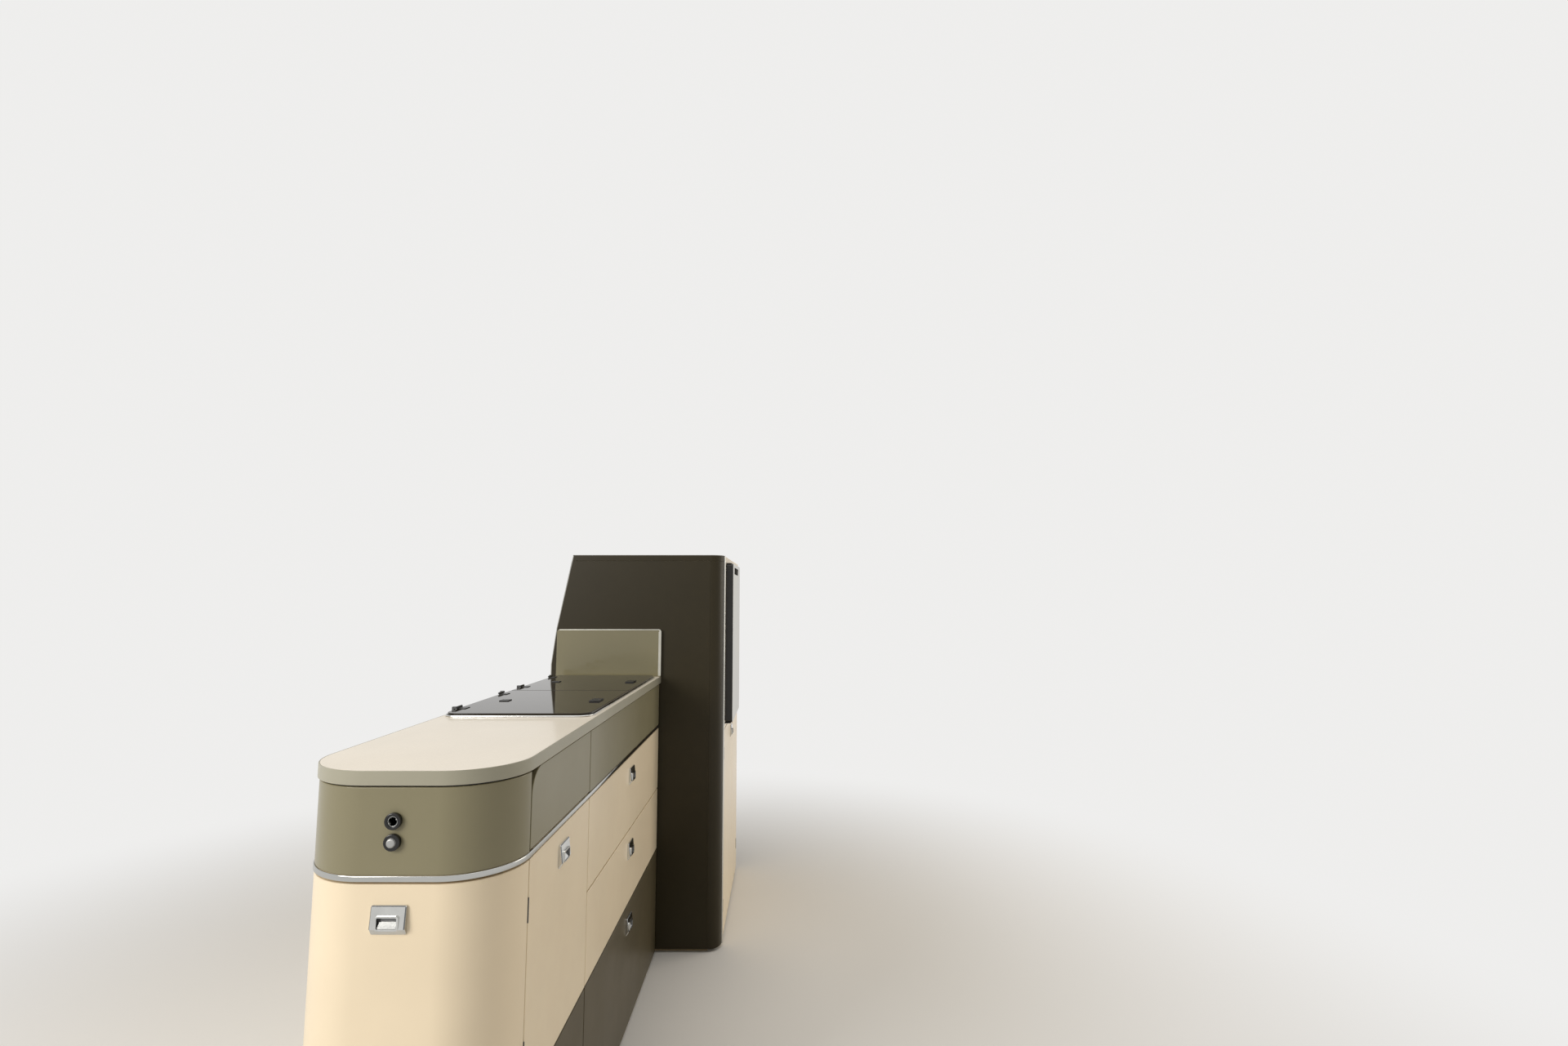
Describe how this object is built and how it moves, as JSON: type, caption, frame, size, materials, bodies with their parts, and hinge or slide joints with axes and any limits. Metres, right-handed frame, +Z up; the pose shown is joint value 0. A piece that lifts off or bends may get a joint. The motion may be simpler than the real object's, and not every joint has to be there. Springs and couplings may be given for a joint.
{
  "type": "camper van kitchen unit",
  "caption": "Low kitchen run with a rounded end, drawers, a sink and hob under glass lids, joined to a tall cabinet with a fridge and wardrobe.",
  "frame": {"origin": "on the floor under the low run's base board, at the middle of the unit's whole length and of the worktop's depth", "axes": "+X along the unit from its rounded near end to the tall cabinet, -Y is the aisle side with the drawers, +Y the van's wall, +Z up"},
  "size_m": [2.104, 0.605, 1.287],
  "materials": {
    "cream_front": "cream satin laminate",
    "graphite_front": "dark grey satin laminate",
    "grey_fascia": "grey satin laminate",
    "worktop": "cream fine textured laminate",
    "edging": "light grey edge band",
    "carcass": "light plywood, bare edges",
    "bright_trim": "polished",
    "latch_metal": "satin chrome",
    "steel": "brushed stainless",
    "lid_glass": "black mirror glass",
    "black_plastic": "black moulded plastic",
    "cast_black": "black enamel",
    "splash": "pale grey high gloss",
    "fridge_white": "white moulded liner",
    "fridge_silver": "silver painted steel"
  },
  "bodies": {
    "cabinet": {"base_board": "carcass", "back_board": "carcass", "run_uprights": "carcass", "run_decks": "carcass", "bright_trim": "bright_trim", "corner_strip": "bright_trim", "end_fascia": "grey_fascia", "front_fascia": "grey_fascia", "end_lower_panel": "graphite_front", "power_socket": "black_plastic", "push_button": "black_plastic", "worktop": "worktop", "worktop_edging": "edging", "unit_tray": "steel", "hob_burners": "cast_black", "pan_supports": "cast_black", "hob_knobs": "black_plastic", "folded_tap": "bright_trim", "lid_hinge_posts": "steel", "drawer_runners": "steel", "door_hinges": "steel", "tall_base": "carcass", "tall_front_panel": "graphite_front", "tall_corner_post": "graphite_front", "tall_uprights": "carcass", "tall_back": "carcass", "tall_top": "cream_front", "aisle_frame": "cream_front", "tall_shelves": "carcass", "fridge_body": "fridge_white", "fridge_shelves": "fridge_white", "splashback": "splash"},
    "end_door": {"end_door": "cream_front", "end_latch": "latch_metal"},
    "cutlery_drawer": {"cutlery_drawer_front": "grey_fascia", "cutlery_drawer_box": "carcass"},
    "pantry_drawer": {"pantry_drawer_front": "cream_front", "pantry_drawer_box": "carcass", "pantry_latch": "latch_metal"},
    "base_drawer": {"base_drawer_front": "graphite_front", "base_drawer_box": "carcass", "base_latch": "latch_metal"},
    "top_drawer": {"top_drawer_front": "cream_front", "top_drawer_box": "carcass", "top_latch": "latch_metal"},
    "middle_drawer": {"middle_drawer_front": "cream_front", "middle_drawer_box": "carcass", "middle_latch": "latch_metal"},
    "bottom_drawer": {"bottom_drawer_front": "graphite_front", "bottom_drawer_box": "carcass", "bottom_latch": "latch_metal"},
    "sink_lid": {"sink_lid": "lid_glass", "sink_lid_fittings": "black_plastic"},
    "hob_lid": {"hob_lid": "lid_glass", "hob_lid_fittings": "black_plastic"},
    "fridge_door": {"fridge_door": "fridge_silver"},
    "locker_door": {"locker_door": "cream_front", "locker_latch": "latch_metal"},
    "wardrobe_door": {"wardrobe_door": "cream_front", "wardrobe_latch": "latch_metal"}
  },
  "joints": [
    {"name": "end_door_hinge", "type": "hinge", "parent": "cabinet", "child": "end_door", "pos_m": [-0.9385, -0.172, 0.5], "axis": [0, 0, 1], "range_deg": [0, 90]},
    {"name": "cutlery_drawer_slide", "type": "slide", "parent": "cabinet", "child": "cutlery_drawer", "axis": [0, -1, 0], "range_m": [0, 0.26]},
    {"name": "pantry_drawer_slide", "type": "slide", "parent": "cabinet", "child": "pantry_drawer", "axis": [0, -1, 0], "range_m": [0, 0.26]},
    {"name": "base_drawer_slide", "type": "slide", "parent": "cabinet", "child": "base_drawer", "axis": [0, -1, 0], "range_m": [0, 0.26]},
    {"name": "top_drawer_slide", "type": "slide", "parent": "cabinet", "child": "top_drawer", "axis": [0, -1, 0], "range_m": [0, 0.26]},
    {"name": "middle_drawer_slide", "type": "slide", "parent": "cabinet", "child": "middle_drawer", "axis": [0, -1, 0], "range_m": [0, 0.26]},
    {"name": "bottom_drawer_slide", "type": "slide", "parent": "cabinet", "child": "bottom_drawer", "axis": [0, -1, 0], "range_m": [0, 0.26]},
    {"name": "sink_lid_hinge", "type": "hinge", "parent": "cabinet", "child": "sink_lid", "pos_m": [-0.34, 0.163, 0.8914], "axis": [-1, 0, 0], "range_deg": [0, 85]},
    {"name": "hob_lid_hinge", "type": "hinge", "parent": "cabinet", "child": "hob_lid", "pos_m": [0.07, 0.163, 0.8914], "axis": [-1, 0, 0], "range_deg": [0, 85]},
    {"name": "fridge_door_hinge", "type": "hinge", "parent": "cabinet", "child": "fridge_door", "pos_m": [0.3985, -0.397, 0.98], "axis": [0, 0, -1], "range_deg": [0, 110]},
    {"name": "locker_door_hinge", "type": "hinge", "parent": "cabinet", "child": "locker_door", "pos_m": [0.392, -0.381, 0.36], "axis": [0, 0, -1], "range_deg": [0, 100]},
    {"name": "wardrobe_door_hinge", "type": "hinge", "parent": "cabinet", "child": "wardrobe_door", "pos_m": [1.025, -0.381, 0.64], "axis": [0, 0, 1], "range_deg": [0, 100]}
  ]
}
